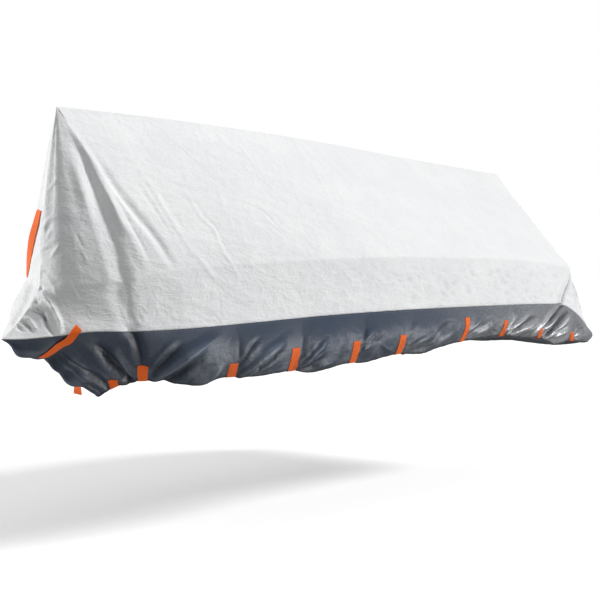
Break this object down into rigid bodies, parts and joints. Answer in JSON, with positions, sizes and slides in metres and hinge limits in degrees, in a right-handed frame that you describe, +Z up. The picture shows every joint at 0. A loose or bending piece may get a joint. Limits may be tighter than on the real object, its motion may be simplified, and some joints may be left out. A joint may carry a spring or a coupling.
{
  "type": "fitted boat cover",
  "caption": "Fitted cloth cover for a small motor boat: pale grey ridge-roofed top, navy skirt drawn in at the hem and orange webbing straps.",
  "frame": {"origin": "underside of the ridge above the middle of the boat, where a pole would hold the cover up", "axes": "+X aft along the boat, -Y to port, +Z up; the bow points to -X"},
  "size_m": [5.2289, 1.8342, 1.6608],
  "materials": {
    "cover_cloth": "matt woven polyester, lightly creased",
    "skirt_cloth": "coated woven polyester with a soft sheen",
    "webbing": "matt woven webbing"
  },
  "bodies": {
    "root": {"top_port": "cover_cloth", "top_starboard": "cover_cloth", "skirt_port": "skirt_cloth", "skirt_starboard": "skirt_cloth", "strap_port_01": "webbing", "strap_port_02": "webbing", "strap_port_03": "webbing", "strap_port_04": "webbing", "strap_port_05": "webbing", "strap_port_06": "webbing", "strap_port_07": "webbing", "strap_port_08": "webbing", "strap_port_09": "webbing", "strap_port_10": "webbing", "strap_starboard_01": "webbing", "strap_starboard_02": "webbing", "strap_starboard_03": "webbing", "strap_starboard_04": "webbing", "strap_starboard_05": "webbing", "strap_starboard_06": "webbing", "strap_starboard_07": "webbing", "strap_starboard_08": "webbing", "strap_starboard_09": "webbing", "strap_starboard_10": "webbing", "bow_strap_port": "webbing", "front_strap": "webbing"}
  },
  "joints": []
}
